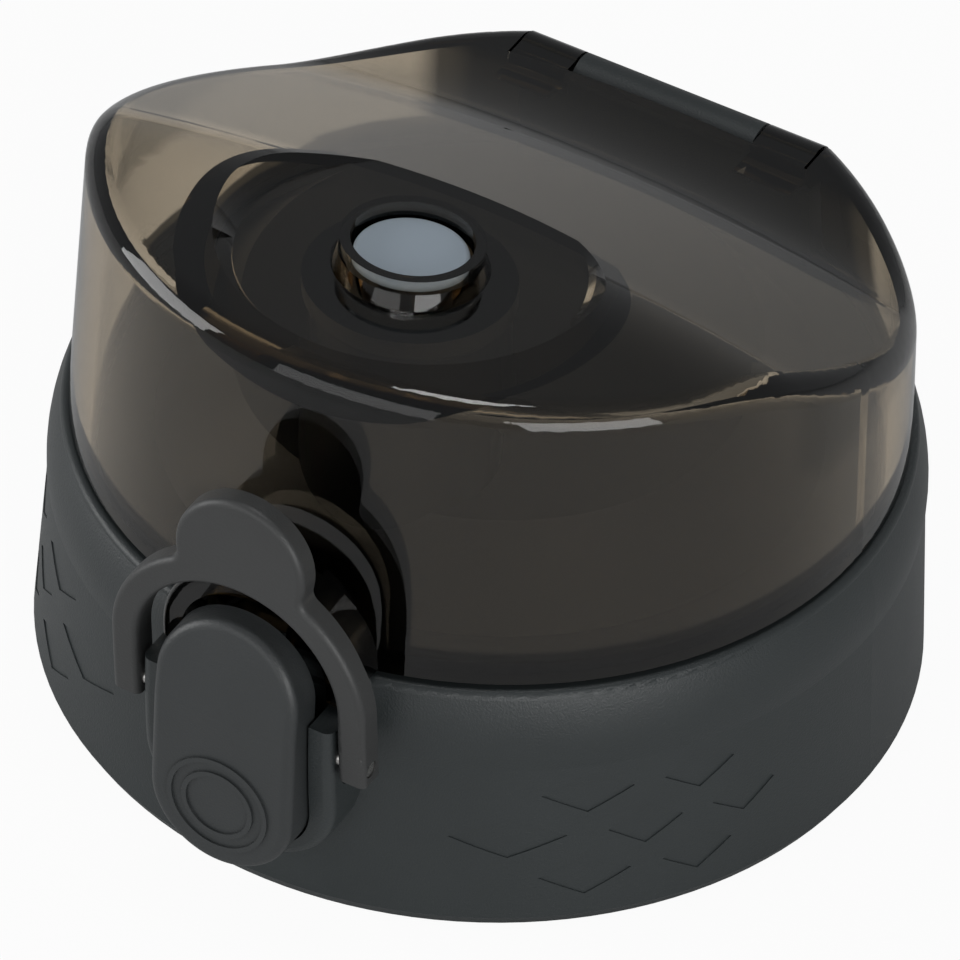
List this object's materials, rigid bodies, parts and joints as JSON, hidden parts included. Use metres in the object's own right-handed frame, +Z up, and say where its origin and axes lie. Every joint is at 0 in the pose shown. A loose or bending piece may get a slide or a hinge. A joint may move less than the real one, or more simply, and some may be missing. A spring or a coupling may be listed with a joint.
{
  "type": "flip-top bottle cap",
  "caption": "Screw cap for a sports bottle with a smoky clear flip lid, a rocking push button and a swinging lock loop.",
  "frame": {"origin": "on the screw axis, at the bottom rim of the neck bore", "axes": "+Z up along the screw axis, -Y towards the button at the front, +Y towards the hinge, +X to the right seen from the front"},
  "size_m": [0.0764, 0.0828, 0.0544],
  "materials": {
    "collar_plastic": "fine-grained satin dark grey plastic",
    "inner_plastic": "smooth dark grey plastic",
    "silicone_ring": "translucent pale silicone",
    "lid_clear": "smoky brown clear plastic, glossy",
    "plug_silicone": "pale bluish silicone, matte",
    "pin_steel": "ground steel pin",
    "button_plastic": "fine-grained satin dark grey plastic",
    "spring_steel": "spring wire",
    "loop_plastic": "satin grey plastic, slightly lighter than the collar"
  },
  "bodies": {
    "base": {"collar": "collar_plastic", "inner_body": "inner_plastic", "neck_gasket": "silicone_ring", "hinge_pin": "pin_steel", "button_pin": "pin_steel", "button_spring": "spring_steel", "loop_pin_right": "pin_steel", "loop_pin_left": "pin_steel"},
    "flip_lid": {"lid": "lid_clear", "plug": "plug_silicone"},
    "push_button": {"button": "button_plastic"},
    "swing_loop": {"lock_loop": "loop_plastic"}
  },
  "joints": [
    {"name": "lid_hinge", "type": "hinge", "parent": "base", "child": "flip_lid", "pos_m": [0, 0.0298, 0.036], "axis": [-1, 0, 0], "range_deg": [0, 130]},
    {"name": "button_press", "type": "hinge", "parent": "base", "child": "push_button", "pos_m": [0, -0.039, 0.017], "axis": [1, 0, 0], "range_deg": [0, 5], "stiffness_Nm_per_rad": 0.05, "springref_deg": -5.73, "deforming": ["button_spring"]},
    {"name": "lock_loop_swing", "type": "hinge", "parent": "base", "child": "swing_loop", "pos_m": [0, -0.0403, 0.0201], "axis": [1, 0, 0], "range_deg": [-7.5, 108]}
  ]
}
